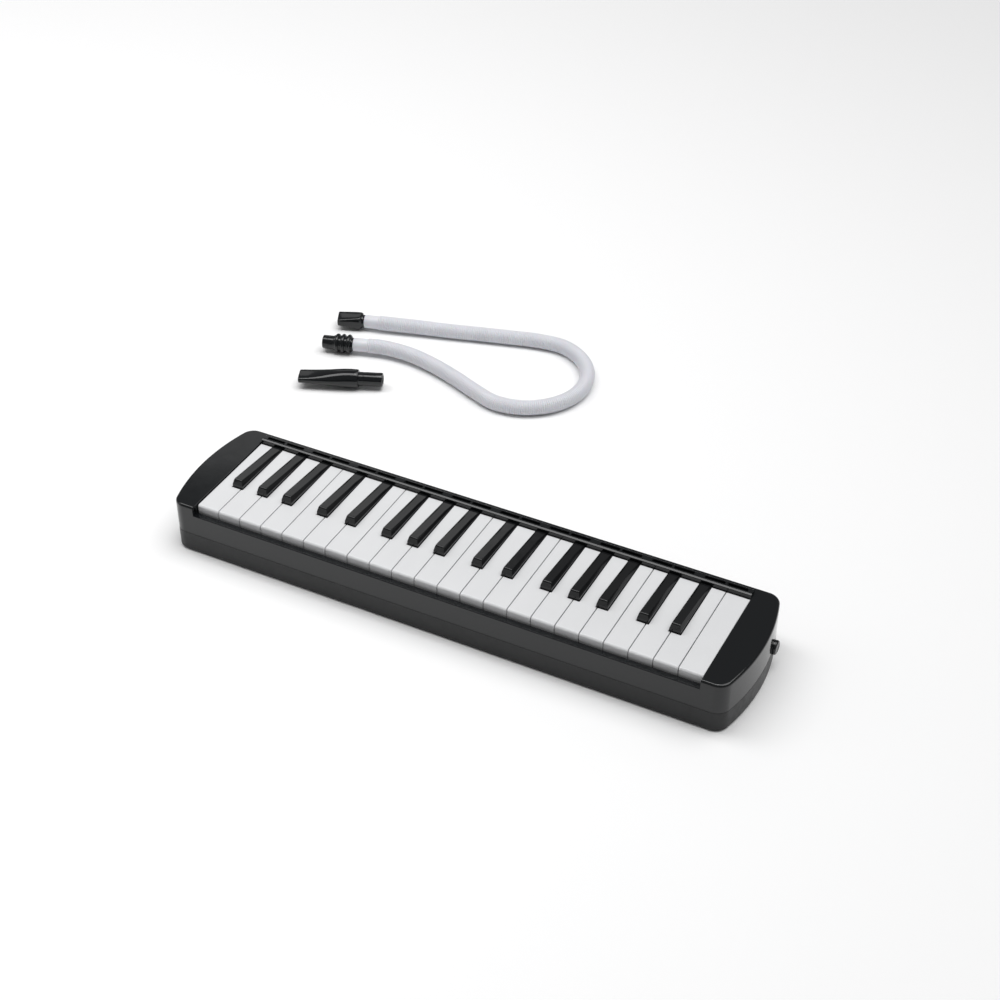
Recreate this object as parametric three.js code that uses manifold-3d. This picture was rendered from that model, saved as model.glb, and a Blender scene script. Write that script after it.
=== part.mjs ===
// A 37-key melodica (F3 to F6) with its blowing hose and its short mouthpiece.
// Millimetres. +Z is up, +X points to the high notes, and +Y to the rear, away from the player.
// The origin is on the resting plane, under the middle of the case.
import * as THREE from 'three';
import { mergeVertices } from 'three/addons/utils/BufferGeometryUtils.js';
import { ConvexGeometry } from 'three/addons/geometries/ConvexGeometry.js';
import Module from 'manifold-3d';

const wasm = await Module();
wasm.setup();

// ---- driving dimensions ----

const GAP = 0.3; // between two pieces that touch
const PITCH = 17; // from one white key to the next
const WHITES = 22;
const KEYBOARD_HALF = (WHITES * PITCH) / 2;
const KEY_GAP = 0.65;
const KEY_FRONT_Y = -43;
const KEY_REAR_Y = 37;
const KEY_TOP_Z = 38;

const CASE_HALF_DEPTH = 49;
const END_RADIUS = 150; // the convex ends of the case
const END_CENTRE_X = 61;
const CORNER_RADIUS = 10;
const CASE_TOP_Z = 39.3;
const PARTING_Z = 16; // where the two covers meet
const WALL = 2.2;
const EDGE_ROUNDING = 2;

const OPENING_X = KEYBOARD_HALF + 0.3; // the key opening of the top cover
const OPENING_FRONT_Y = -44.2;
const OPENING_REAR_Y = 37.7;
const FRONT_LIP_Z = 32;

const RAIL_REAR_Y = 44; // the raised bar behind the keys
const RAIL_TOP_Z = 41.6;
const SLOT_PAIRS = 10;
const SLOT = { length: 14.3, width: 2.4, rib: 1.5, y: 41.2 };

const PIVOT = { y: 24, z: 30, rod: 1.2, bore: 1.7 };
const NOTCH_Y = -14.9; // where a white key narrows beside the black keys
const BLACK = { width: 8, topWidth: 6.2, frontY: -14.2, topFrontY: -13.2, topZ: 44.1, rearZ: 39 };
const NOTCH_HALF = 4.4;
const LEVER = { width: 6, bottomZ: 29.5, bossZ: 26.2, plateZ: 33, rearY: 45.5 };
const PAD = { width: 7, y: [35.5, 44.5], bottomZ: 23.3 };

const CHEST = { x: 192, y: [7, 46], z: [12, 23], wall: 2, ceilingZ: 20 };
const POST = { halfThickness: 1, y: [19.5, 28.5], topZ: 32.2 };
const TONE_HOLE = { halfWidth: 2.1, y: [36.75, 43.25] };
const CELL = { halfWidth: 2.7, topZ: 22 };
const REED = { plateZ: [18.9, 19.7], halfWidth: 1.2, rearY: 42, longest: 30, shortest: 12 };

const SOCKET = { y: 15, z: 17.5, radius: 8, bore: 5.7, mouthX: -221 };
const DRAIN = { y: 26, z: 15.3, head: 5, stem: 1.5, seal: 3.2, headX: 206.3, outX: 211.7 };

const RECESS = { x: 80, y: [6, 38], topZ: 6.4 }; // for the hand strap, in the underside
const STRAP = { y: [10, 34], bottomZ: 0.6, thickness: 1.4 };

const HOSE_DIAMETER = 12;

// ---- materials ----

const plastic = (color, roughness) => new THREE.MeshStandardMaterial({ color, roughness, metalness: 0 });
const metal = (color, roughness) => new THREE.MeshStandardMaterial({ color, roughness, metalness: 1 });
const BLACK_GLOSS = plastic(0x15181a, 0.15);
const BLACK_FLAT = plastic(0x1b1d1f, 0.45);
const WHITE_GLOSS = plastic(0xe0e2e5, 0.25);
const GREY_PLASTIC = plastic(0x9a9c9b, 0.5);
const FELT = plastic(0x424244, 0.95);
const RUBBER = plastic(0x2a2a2a, 0.8);
const LEATHER = plastic(0x1d1a18, 0.6);
const HOSE_WHITE = plastic(0xe6e4ef, 0.4);
const BRASS = metal(0xb8954a, 0.3);
const STEEL = metal(0xb4b6b8, 0.3);

// ---- solids ----

// A closed three.js geometry as a manifold-3d solid.
function toSolid(geometry) {
  geometry.deleteAttribute('normal');
  geometry.deleteAttribute('uv');
  const merged = mergeVertices(geometry, 1e-4);
  return new wasm.Manifold(new wasm.Mesh({
    numProp: 3,
    vertProperties: merged.attributes.position.array,
    triVerts: new Uint32Array(merged.index.array),
  }));
}

function toMesh(name, solid, material) {
  const { vertProperties, triVerts } = solid.getMesh();
  const geometry = new THREE.BufferGeometry();
  geometry.setAttribute('position', new THREE.BufferAttribute(vertProperties, 3));
  geometry.setIndex(new THREE.BufferAttribute(triVerts, 1));
  geometry.computeVertexNormals();
  const mesh = new THREE.Mesh(geometry, material);
  mesh.name = name;
  return mesh;
}

function block([x0, x1], [y0, y1], [z0, z1]) {
  const geometry = new THREE.BoxGeometry(x1 - x0, y1 - y0, z1 - z0);
  return toSolid(geometry.translate((x0 + x1) / 2, (y0 + y1) / 2, (z0 + z1) / 2));
}

// An outline of [y, z] points drawn out from x0 to x1.
function drawnAlongX(points, x0, x1) {
  const shape = new THREE.Shape(points.map(([y, z]) => new THREE.Vector2(y, z)));
  const geometry = new THREE.ExtrudeGeometry(shape, { depth: x1 - x0, bevelEnabled: false });
  const turn = new THREE.Matrix4().makeBasis(
    new THREE.Vector3(0, 1, 0), new THREE.Vector3(0, 0, 1), new THREE.Vector3(1, 0, 0));
  return toSolid(geometry.applyMatrix4(turn).translate(x0, 0, 0));
}

function cylinderAlongX(radius, x0, x1, y, z, sides = 16) {
  const geometry = new THREE.CylinderGeometry(radius, radius, x1 - x0, sides);
  return toSolid(geometry.rotateZ(-Math.PI / 2).translate((x0 + x1) / 2, y, z));
}

// A profile of [x, radius] points turned about the X axis. It starts and ends on the axis, or closes.
function turnedAboutX(profile, sides = 16) {
  const points = profile.map(([x, radius]) => new THREE.Vector2(radius, x));
  return new THREE.LatheGeometry(points, sides).rotateZ(-Math.PI / 2);
}

// The case outline seen from above, moved in by inset: two arcs as ends, joined by four corner arcs.
function caseOutline(inset) {
  const corner = CORNER_RADIUS - inset;
  const end = END_RADIUS - inset;
  const cornerY = CASE_HALF_DEPTH - CORNER_RADIUS;
  const spread = Math.asin(cornerY / (END_RADIUS - CORNER_RADIUS));
  const cornerX = END_CENTRE_X + (END_RADIUS - CORNER_RADIUS) * Math.cos(spread);
  const shape = new THREE.Shape();
  shape.absarc(cornerX, -cornerY, corner, -Math.PI / 2, -spread);
  shape.absarc(END_CENTRE_X, 0, end, -spread, spread);
  shape.absarc(cornerX, cornerY, corner, spread, Math.PI / 2);
  shape.absarc(-cornerX, cornerY, corner, Math.PI / 2, Math.PI - spread);
  shape.absarc(-END_CENTRE_X, 0, end, Math.PI - spread, Math.PI + spread);
  shape.absarc(-cornerX, -cornerY, corner, Math.PI + spread, 1.5 * Math.PI);
  return shape;
}

function caseBlock(inset, z0, z1) {
  const geometry = new THREE.ExtrudeGeometry(caseOutline(inset), {
    depth: z1 - z0, bevelEnabled: false, curveSegments: 5 });
  return toSolid(geometry.translate(0, 0, z0));
}

// The same block with its top and bottom edges rounded.
function roundedCaseBlock(z0, z1) {
  const geometry = new THREE.ExtrudeGeometry(caseOutline(EDGE_ROUNDING), {
    depth: z1 - z0 - 2 * EDGE_ROUNDING, curveSegments: 5,
    bevelSize: EDGE_ROUNDING, bevelThickness: EDGE_ROUNDING, bevelSegments: 2 });
  return toSolid(geometry.translate(0, 0, z0 + EDGE_ROUNDING));
}

const joined = (solids) => solids.reduce((whole, next) => whole.add(next));
const cut = (solid, tools) => tools.reduce((left, tool) => left.subtract(tool), solid);

// ---- the keyboard's layout ----

// Each black key sits over the gap to the right of the white key it is named after, moved by this much.
const BLACK_OFFSET = { F: -3, G: 0, A: 3, C: -2.6, D: 2.6 };
// The middle of each white key's lever, from the key's left edge.
const LEVER_X = { F: 5, G: 7, A: 10, B: 12, C: 5.2, D: 8.5, E: 11.8 };
const LETTERS = ['F', 'G', 'A', 'B', 'C', 'D', 'E'];

const whiteKeys = Array.from({ length: WHITES }, (_, i) => {
  const letter = LETTERS[i % LETTERS.length];
  const octave = 3 + Math.floor((i + 3) / LETTERS.length);
  const left = -KEYBOARD_HALF + i * PITCH;
  return { note: `${letter}${octave}`, letter, left, leverX: left + LEVER_X[letter] };
});

const blackKeys = whiteKeys.slice(0, -1).filter(({ letter }) => letter in BLACK_OFFSET)
  .map(({ note, letter, left }) => {
    const leverX = left + PITCH + BLACK_OFFSET[letter];
    return { note: note.replace(letter, `${letter}s`), leverX };
  });

const leverPlaces = [...whiteKeys, ...blackKeys].map(({ leverX }) => leverX).sort((a, b) => a - b);
const reedLength = (i) => REED.longest + ((REED.shortest - REED.longest) * i) / (leverPlaces.length - 1);

// The posts that hold the key axle: at both ends, and between B and C, and E and F.
const postPlaces = [
  -KEYBOARD_HALF - 2,
  ...whiteKeys.slice(1).flatMap(({ letter, left }) => {
    if (letter === 'C') return [left + 0.1];
    return letter === 'F' ? [left - 0.1] : [];
  }),
  KEYBOARD_HALF + 2,
];

// ---- keys ----

// The lever under a key: a narrow web, the boss with the pivot bore, and the tail with its valve pad.
function keyLever(x, frontY) {
  const { bottomZ, bossZ, plateZ, rearY, width } = LEVER;
  const outline = [
    [frontY, bottomZ], [17, bottomZ], [19.5, bossZ], [rearY, bossZ],
    [rearY, plateZ + 1], [KEY_REAR_Y - 0.5, plateZ + 2], [frontY, plateZ + 2],
  ];
  const web = drawnAlongX(outline, x - width / 2, x + width / 2);
  const pad = block([x - PAD.width / 2, x + PAD.width / 2], PAD.y, [PAD.bottomZ, bossZ + 0.2]);
  return web.add(pad);
}

const pivotBore = (x) => cylinderAlongX(PIVOT.bore, x - 12, x + 12, PIVOT.y, PIVOT.z, 8);

function whiteKey({ note, letter, left, leverX }) {
  const x0 = left + KEY_GAP / 2;
  const x1 = left + PITCH - KEY_GAP / 2;
  const side = [
    [KEY_FRONT_Y, LEVER.bottomZ], [NOTCH_Y, LEVER.bottomZ], [NOTCH_Y, LEVER.plateZ],
    [KEY_REAR_Y, LEVER.plateZ], [KEY_REAR_Y, KEY_TOP_Z],
    [KEY_FRONT_Y + 0.9, KEY_TOP_Z], [KEY_FRONT_Y, KEY_TOP_Z - 0.9],
  ];
  const wall = 1.5;
  const hollow = block([x0 + wall, x1 - wall], [KEY_FRONT_Y + wall, NOTCH_Y - 2.1],
    [LEVER.bottomZ - 1, KEY_TOP_Z - 2]);
  // Beside each black key the plate is cut back, from the black key's far side to the edge of the plate.
  const middle = left + PITCH / 2;
  const notches = blackKeys.filter((black) => Math.abs(black.leverX - middle) < PITCH).map((black) => {
    const x = black.leverX < middle ? [x0 - 1, black.leverX + NOTCH_HALF] : [black.leverX - NOTCH_HALF, x1 + 1];
    return block(x, [NOTCH_Y, KEY_REAR_Y + 1], [LEVER.plateZ - 1, KEY_TOP_Z + 1]);
  });
  const plate = cut(drawnAlongX(side, x0, x1), [hollow, ...notches]);
  const key = plate.add(keyLever(leverX, NOTCH_Y - 1)).subtract(pivotBore(leverX));
  return toMesh(`white_key_${note}`, key, WHITE_GLOSS);
}

// A black key is a wedge: high at the front and level with the white keys at the rear.
function blackKey({ note, leverX }) {
  const { width, topWidth, frontY, topFrontY, topZ, rearZ } = BLACK;
  const corners = [LEVER.plateZ, KEY_TOP_Z].flatMap((z) => [frontY, KEY_REAR_Y].flatMap((y) => [
    new THREE.Vector3(leverX - width / 2, y, z), new THREE.Vector3(leverX + width / 2, y, z)]));
  const ridge = [[topFrontY, topZ], [KEY_REAR_Y, rearZ]].flatMap(([y, z]) => [
    new THREE.Vector3(leverX - topWidth / 2, y, z), new THREE.Vector3(leverX + topWidth / 2, y, z)]);
  const wedge = toSolid(new ConvexGeometry([...corners, ...ridge]));
  const key = wedge.add(keyLever(leverX, frontY + 1)).subtract(pivotBore(leverX));
  return toMesh(`black_key_${note}`, key, BLACK_GLOSS);
}

function keyAxle() {
  const end = KEYBOARD_HALF + 3.5;
  return toMesh('key_axle', cylinderAlongX(PIVOT.rod, -end, end, PIVOT.y, PIVOT.z, 10), STEEL);
}

// One steel comb: a strip on the wind chest, and a finger that presses up under each key.
function keySprings() {
  const thickness = 0.5;
  const low = CHEST.z[1] + GAP;
  const strip = block([-183, 184], [8.5, 14], [low, low + thickness]);
  const finger = (x) => drawnAlongX([
    [9, low], [9, low + thickness], [-2, LEVER.bottomZ - GAP], [-2, LEVER.bottomZ - GAP - thickness],
  ], x - 1.5, x + 1.5);
  return toMesh('key_springs', joined([strip, ...leverPlaces.map(finger)]), STEEL);
}

// ---- wind chest and reeds ----

function windChest() {
  const { x, y, z, wall, ceilingZ } = CHEST;
  const inside = block([-x + wall, x - wall], [y[0] + wall, y[1] - wall], [z[0] - 1, ceilingZ]);
  const inlet = block([-x - 1, -x + wall + 1], [SOCKET.y - 5, SOCKET.y + 5], [12.8, 18.4]);
  const drain = cylinderAlongX(2.1, x - wall - 1, x + 1, DRAIN.y, DRAIN.z, 10);
  const cells = leverPlaces.map((at, i) => block([at - CELL.halfWidth, at + CELL.halfWidth],
    [TONE_HOLE.y[1] - reedLength(i) - 2, TONE_HOLE.y[1]], [ceilingZ - 1, CELL.topZ]));
  const holes = leverPlaces.map((at) => block([at - TONE_HOLE.halfWidth, at + TONE_HOLE.halfWidth],
    TONE_HOLE.y, [CELL.topZ - 0.5, z[1] + 1]));
  const posts = postPlaces.map((at) => block([at - POST.halfThickness, at + POST.halfThickness],
    POST.y, [z[1] - 1, POST.topZ]));
  const axleHoles = postPlaces.map((at) => cylinderAlongX(PIVOT.bore, at - 2, at + 2, PIVOT.y, PIVOT.z, 8));
  const body = joined([block([-x, x], y, z), ...posts]);
  return toMesh('wind_chest', cut(body, [inside, inlet, drain, ...cells, ...holes, ...axleHoles]), GREY_PLASTIC);
}

function chestGasket() {
  const { x, y } = CHEST;
  const border = 2.5;
  const z = [11.1, 11.7];
  const hole = block([-x + border, x - border], [y[0] + border, y[1] - border], [z[0] - 1, z[1] + 1]);
  return toMesh('chest_gasket', block([-x, x], y, z).subtract(hole), RUBBER);
}

const chestLid = () => toMesh('chest_lid', block([-CHEST.x, CHEST.x], CHEST.y, [8.9, 10.8]), GREY_PLASTIC);

// A brass plate with a slot under each tone hole, which gets shorter as the notes get higher.
function reedPlate(name, [x0, x1]) {
  const slots = leverPlaces.map((at, i) => ({ at, length: reedLength(i) }))
    .filter(({ at }) => at > x0 && at < x1)
    .map(({ at, length }) => block([at - REED.halfWidth, at + REED.halfWidth],
      [REED.rearY - length, REED.rearY], [REED.plateZ[0] - 1, REED.plateZ[1] + 1]));
  return toMesh(name, cut(block([x0, x1], [10, 43.6], REED.plateZ), slots), BRASS);
}

// ---- case ----

const socketHole = () => cylinderAlongX(SOCKET.radius + GAP, -230, -200, SOCKET.y, SOCKET.z, 20);
const drainHole = () => cylinderAlongX(DRAIN.head + 0.4, 200, 230, DRAIN.y, DRAIN.z, 16);

function topCover() {
  const roofZ = CASE_TOP_Z - WALL;
  const shell = cut(roundedCaseBlock(PARTING_Z - 5, CASE_TOP_Z), [
    block([-300, 300], [-60, 60], [0, PARTING_Z]),
    caseBlock(WALL, PARTING_Z - 1, roofZ),
    block([-OPENING_X, OPENING_X], [OPENING_FRONT_Y, OPENING_REAR_Y], [PARTING_Z, CASE_TOP_Z + 1]),
    block([-OPENING_X, OPENING_X], [-60, OPENING_FRONT_Y + 1], [FRONT_LIP_Z, CASE_TOP_Z + 1]),
  ]);
  const lip = block([-OPENING_X - 1, OPENING_X + 1], [-CASE_HALF_DEPTH + 1, OPENING_FRONT_Y],
    [FRONT_LIP_Z - WALL, FRONT_LIP_Z]);
  const cheek = (side) => block([Math.min(side * OPENING_X, side * (OPENING_X + 1.7)),
    Math.max(side * OPENING_X, side * (OPENING_X + 1.7))], [OPENING_FRONT_Y - 1, OPENING_REAR_Y + 1],
  [LEVER.plateZ, roofZ + 1]);
  const rail = block([-KEYBOARD_HALF + 0.3, KEYBOARD_HALF - 0.3], [OPENING_REAR_Y, RAIL_REAR_Y],
    [roofZ, RAIL_TOP_Z]);
  const period = (2 * KEYBOARD_HALF) / SLOT_PAIRS;
  const slots = Array.from({ length: SLOT_PAIRS }, (_, i) => {
    const middle = -KEYBOARD_HALF + (i + 0.5) * period;
    return [-1, 1].map((side) => {
      const centre = middle + (side * (SLOT.length + SLOT.rib)) / 2;
      return block([centre - SLOT.length / 2, centre + SLOT.length / 2],
        [SLOT.y - SLOT.width / 2, SLOT.y + SLOT.width / 2], [roofZ - 1, RAIL_TOP_Z + 1]);
    });
  }).flat();
  const whole = joined([shell, lip, cheek(-1), cheek(1), rail]);
  return toMesh('top_cover', cut(whole, [...slots, socketHole(), drainHole()]), BLACK_GLOSS);
}

function bottomCover() {
  const top = PARTING_Z - GAP;
  const floorZ = 2.2;
  const shell = cut(roundedCaseBlock(0, top + 5), [
    block([-300, 300], [-60, 60], [top, top + 20]),
    caseBlock(WALL, floorZ, top + 1),
  ]);
  const recessRoof = block([-RECESS.x - WALL, RECESS.x + WALL], [RECESS.y[0] - WALL, RECESS.y[1] + WALL],
    [floorZ - 1, RECESS.topZ + WALL]);
  const recess = block([-RECESS.x, RECESS.x], RECESS.y, [-1, RECESS.topZ]);
  // Two ribs carry the felts that stop the keys.
  const rib = (y, halfFlange, flangeZ) => joined([
    block([-186, 186], [y - 1.2, y + 1.2], [floorZ - 1, flangeZ]),
    block([-186, 186], [y - halfFlange, y + halfFlange], [flangeZ - 1.5, flangeZ]),
  ]);
  const pillars = [-168, -100, 100, 168].flatMap((x) => [12, 41].map((y) => block(
    [x - 3, x + 3], [y - 3, y + 3], [floorZ - 1, RECESS.topZ + WALL])));
  const whole = joined([shell, recessRoof, rib(-33, 4, 23.5), rib(-8.5, 2.5, 24.5), ...pillars]);
  return toMesh('bottom_cover', cut(whole, [recess, socketHole(), drainHole()]), BLACK_FLAT);
}

const whiteKeyFelt = () => toMesh('white_key_felt', block([-186, 186], [-37, -29], [23.8, 25.8]), FELT);
const blackKeyFelt = () => toMesh('black_key_felt', block([-186, 186], [-11, -6], [24.8, 26.8]), FELT);

// ---- blow socket and drain valve ----

function blowSocket() {
  const { y, z, radius, bore, mouthX } = SOCKET;
  const innerX = -CHEST.x - GAP;
  const tube = cylinderAlongX(radius, mouthX, innerX, y, z, 20)
    .add(cylinderAlongX(radius + 2, -206.2, -204.2, y, z, 20))
    .subtract(cylinderAlongX(bore, mouthX - 1, innerX + 1, y, z, 20));
  return toMesh('blow_socket', tube, BLACK_FLAT);
}

function drainButton() {
  const { y, z, head, stem, headX, outX } = DRAIN;
  const sealX = CHEST.x - CHEST.wall - 2.3;
  const button = joined([
    cylinderAlongX(head, headX, outX, y, z),
    cylinderAlongX(stem, sealX - 1.5, headX + 1, y, z, 10),
    cylinderAlongX(stem + 1.2, sealX - 1.5, sealX - GAP, y, z, 10),
  ]);
  return toMesh('drain_button', button, BLACK_GLOSS);
}

function drainSeal() {
  const x1 = CHEST.x - CHEST.wall - GAP;
  const ring = cylinderAlongX(DRAIN.seal, x1 - 2, x1, DRAIN.y, DRAIN.z)
    .subtract(cylinderAlongX(DRAIN.stem + 0.3, x1 - 3, x1 + 1, DRAIN.y, DRAIN.z, 10));
  return toMesh('drain_seal', ring, RUBBER);
}

class Helix extends THREE.Curve {
  constructor(radius, turns, x0, x1) {
    super();
    Object.assign(this, { radius, turns, x0, x1 });
  }

  getPoint(t, target = new THREE.Vector3()) {
    const angle = 2 * Math.PI * this.turns * t;
    return target.set(this.x0 + (this.x1 - this.x0) * t,
      this.radius * Math.cos(angle), this.radius * Math.sin(angle));
  }
}

function wireSection(radius, sides) {
  const points = Array.from({ length: sides }, (_, i) => new THREE.Vector2(
    radius * Math.cos((2 * Math.PI * i) / sides), radius * Math.sin((2 * Math.PI * i) / sides)));
  return new THREE.Shape(points);
}

function drainSpring() {
  const turns = 4;
  const wire = 0.4;
  const path = new Helix(3, turns, CHEST.x + GAP + wire, DRAIN.headX - GAP - wire);
  const geometry = new THREE.ExtrudeGeometry(wireSection(wire, 5), {
    steps: turns * 10, extrudePath: path, bevelEnabled: false });
  return toMesh('drain_spring', toSolid(geometry.translate(0, DRAIN.y, DRAIN.z)), STEEL);
}

// ---- hand strap ----

// The strap's ends lie against the recess and its middle hangs lower, which leaves room for a hand.
function handStrap() {
  const { y, bottomZ, thickness } = STRAP;
  const endZ = RECESS.topZ - GAP - thickness;
  const lower = [[-78, endZ], [-68, endZ], [-61, bottomZ], [61, bottomZ], [68, endZ], [78, endZ]];
  const upper = lower.map(([x, z]) => [x, z + thickness]).reverse();
  const shape = new THREE.Shape([...lower, ...upper].map(([x, z]) => new THREE.Vector2(x, -z)));
  const geometry = new THREE.ExtrudeGeometry(shape, { depth: y[1] - y[0], bevelEnabled: false });
  return toMesh('hand_strap', toSolid(geometry.rotateX(-Math.PI / 2).translate(0, y[0], 0)), LEATHER);
}

function strapAnchor(name, side) {
  const x = [side * 70, side * 79].sort((a, b) => a - b);
  const top = RECESS.topZ - 2 * GAP - STRAP.thickness;
  return toMesh(name, block(x, [8, 36], [top - 2, top]), BLACK_FLAT);
}

// ---- hose set and short mouthpiece ----

// Where the hose lies: from its mouthpiece, round a loop on the resting plane, and back to its connector.
const HOSE_ROUTE = [
  [-229, 253, 7], [-206, 259.5, 7], [-183, 266.5, 6.6], [-160, 273, 6.2], [-137, 280, 6.1],
  [-114, 286.5, 6.1], [-91, 292.5, 6.1], [-68, 293.5, 6.1], [-47.5, 283, 6.1], [-34, 264, 6.1],
  [-31, 240.5, 6.1], [-40, 219, 6.1], [-58.5, 204, 6.1], [-81.5, 199.5, 6.1], [-104, 206.5, 6.1],
  [-126.5, 215.5, 6.2], [-149, 222.5, 6.6], [-172.5, 226.5, 7.2], [-196, 225, 7.8], [-219, 218, 7.8],
].map(([x, y, z]) => new THREE.Vector3(x, y, z));

const SHORT_MOUTHPIECE = { x: -234, y: 160, z: 7.8, heading: Math.atan2(25, 61) };

// A piece whose own X axis runs from the point start, the way that the point ahead lies from it.
function placed(piece, start, ahead) {
  piece.position.copy(start);
  piece.quaternion.setFromUnitVectors(new THREE.Vector3(1, 0, 0), ahead.clone().sub(start).normalize());
  return piece;
}

// Presses a turned piece flat towards its mouth at x = 0. At x = fullX and beyond it stays round.
function flattenedMouth(geometry, fullX, mouthShare) {
  const position = geometry.getAttribute('position');
  for (let i = 0; i < position.count; i += 1) {
    const share = THREE.MathUtils.smoothstep(position.getX(i), 0, fullX);
    position.setZ(i, position.getZ(i) * THREE.MathUtils.lerp(mouthShare, 1, share));
  }
  return geometry;
}

function hoseTube() {
  const path = new THREE.CatmullRomCurve3(HOSE_ROUTE);
  const geometry = new THREE.ExtrudeGeometry(wireSection(HOSE_DIAMETER / 2, 10), {
    steps: 24, extrudePath: path, bevelEnabled: false });
  return toMesh('hose_tube', toSolid(geometry), HOSE_WHITE);
}

// The mouth is at x = -23, and the neck meets the hose at x = 0.
function hoseMouthpiece() {
  const profile = [
    [0, 7.3], [8, 7.3], [14, 6.9], [21, 6.3], [21, 5.2], [23 - GAP, 5.2], [23 - GAP, 3.2],
    [14, 3.2], [0, 5.9], [0, 7.3],
  ];
  const geometry = flattenedMouth(turnedAboutX(profile, 14), 15, 0.42).translate(-23, 0, 0);
  const mesh = toMesh('hose_mouthpiece', toSolid(geometry), BLACK_FLAT);
  const [start, ahead] = HOSE_ROUTE;
  return placed(mesh, start, ahead);
}

// The neck meets the hose at x = 0. Three grip rings follow, and then the plug for the blow socket.
function hoseConnector() {
  const ringPitch = 4.7;
  const rings = [0, 1, 2].flatMap((i) => {
    const x = 2 + i * ringPitch;
    return [[x, 6.2], [x, 7.65], [x + 3.2, 7.65], [x + 3.2, 6.2]];
  });
  const profile = [
    [GAP, 3.2], [GAP, 5.2], [1.5, 5.2], ...rings, [15.5, 6.2], [15.5, 5.5], [24.3, 5.5], [25, 5],
    [25, 3.2], [GAP, 3.2],
  ];
  const mesh = toMesh('hose_connector', toSolid(turnedAboutX(profile, 12)), BLACK_GLOSS);
  const [before, end] = HOSE_ROUTE.slice(-2);
  return placed(mesh, end, end.clone().multiplyScalar(2).sub(before));
}

// The mouth is at x = 0, and the plug for the blow socket ends at x = 66.
function shortMouthpiece() {
  const profile = [
    [0, 7.25], [12, 7.5], [24, 7.75], [36, 7.7], [47, 7.4], [47, 5.5], [65.3, 5.5], [66, 5], [66, 3.6],
    [44, 3.6], [20, 5.2], [0, 5.9], [0, 7.25],
  ];
  const geometry = flattenedMouth(turnedAboutX(profile), 44, 0.36);
  const mesh = toMesh('short_mouthpiece', toSolid(geometry), BLACK_GLOSS);
  mesh.position.set(SHORT_MOUTHPIECE.x, SHORT_MOUTHPIECE.y, SHORT_MOUTHPIECE.z);
  mesh.rotation.z = SHORT_MOUTHPIECE.heading;
  return mesh;
}

const group = new THREE.Group();
group.add(
  topCover(), bottomCover(), windChest(), chestGasket(), chestLid(),
  reedPlate('reed_plate_bass', [-189, -0.2]), reedPlate('reed_plate_treble', [0.4, 189]),
  ...whiteKeys.map(whiteKey), ...blackKeys.map(blackKey), keyAxle(), keySprings(),
  whiteKeyFelt(), blackKeyFelt(), blowSocket(), drainButton(), drainSeal(), drainSpring(),
  handStrap(), strapAnchor('strap_anchor_left', -1), strapAnchor('strap_anchor_right', 1),
  hoseTube(), hoseMouthpiece(), hoseConnector(), shortMouthpiece(),
);

export default group;
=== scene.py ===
"""A melodica with its hose and its short mouthpiece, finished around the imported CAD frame.

Metres, +Z up, +X to the high notes and +Y to the rear. The origin is under the middle of the case.
"""

import math

import bmesh
import bpy
from mathutils import Matrix, Vector


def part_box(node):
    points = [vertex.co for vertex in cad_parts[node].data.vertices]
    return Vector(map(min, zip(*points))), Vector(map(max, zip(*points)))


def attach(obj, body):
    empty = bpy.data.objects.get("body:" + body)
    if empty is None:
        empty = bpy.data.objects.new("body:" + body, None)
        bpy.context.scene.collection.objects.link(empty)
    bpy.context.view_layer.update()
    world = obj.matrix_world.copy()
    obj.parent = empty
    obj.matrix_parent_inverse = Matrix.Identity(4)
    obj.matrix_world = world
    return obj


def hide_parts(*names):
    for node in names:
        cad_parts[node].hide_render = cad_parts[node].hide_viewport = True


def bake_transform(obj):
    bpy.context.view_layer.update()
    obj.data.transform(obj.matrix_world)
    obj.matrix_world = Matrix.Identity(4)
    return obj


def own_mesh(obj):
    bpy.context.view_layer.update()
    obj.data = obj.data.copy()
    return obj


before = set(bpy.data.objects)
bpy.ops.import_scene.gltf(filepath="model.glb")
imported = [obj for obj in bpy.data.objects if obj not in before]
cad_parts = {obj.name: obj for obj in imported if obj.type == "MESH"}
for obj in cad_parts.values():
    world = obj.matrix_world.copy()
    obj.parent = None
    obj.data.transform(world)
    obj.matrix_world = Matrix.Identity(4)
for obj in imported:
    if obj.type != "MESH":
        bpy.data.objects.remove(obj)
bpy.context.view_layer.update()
MM = 0.001

# ---- driving dimensions, as the CAD source has them ----

WHITE_KEYS = 22
PITCH = 17 * MM
KEY_GAP = 0.65 * MM
NOTCH_HALF = 4.4 * MM
NOTCH_Y = -14.9 * MM
KEY_REAR_Y = 37 * MM
KEY_TOP_Z = 38 * MM
PLATE_Z = 33 * MM  # the underside of a key's narrow part
SKIRT_Z = 29.5 * MM  # the lower edge of a white key's wide part
LEVER_OFFSET = {"F": 5, "G": 7, "A": 10, "B": 12, "C": 5.2, "D": 8.5, "E": 11.8}
LEVER_WIDTH = 6 * MM
PIVOT = Vector((0, 24 * MM, 30 * MM))
PIVOT_BORE_RADIUS, AXLE_RADIUS = 1.7 * MM, 1.2 * MM

HALF_DEPTH = 49 * MM
END_RADIUS = 150 * MM
END_CENTRE_X = 61 * MM
CORNER_RADIUS = 10 * MM
WALL = 2.2 * MM
PARTING_Z = 16 * MM
CASE_TOP_Z = 39.3 * MM
OPENING_X = 187.3 * MM
OPENING_Y = (-44.2 * MM, 37.7 * MM)
FRONT_LIP_Z = 32 * MM
RAIL_REAR_Y = 44 * MM
RAIL_TOP_Z = 41.6 * MM
SLOT_PAIRS = 10
SLOT_LENGTH, SLOT_WIDTH, SLOT_RIB, SLOT_Y = 14.3 * MM, 2.4 * MM, 1.5 * MM, 41.2 * MM

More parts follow.
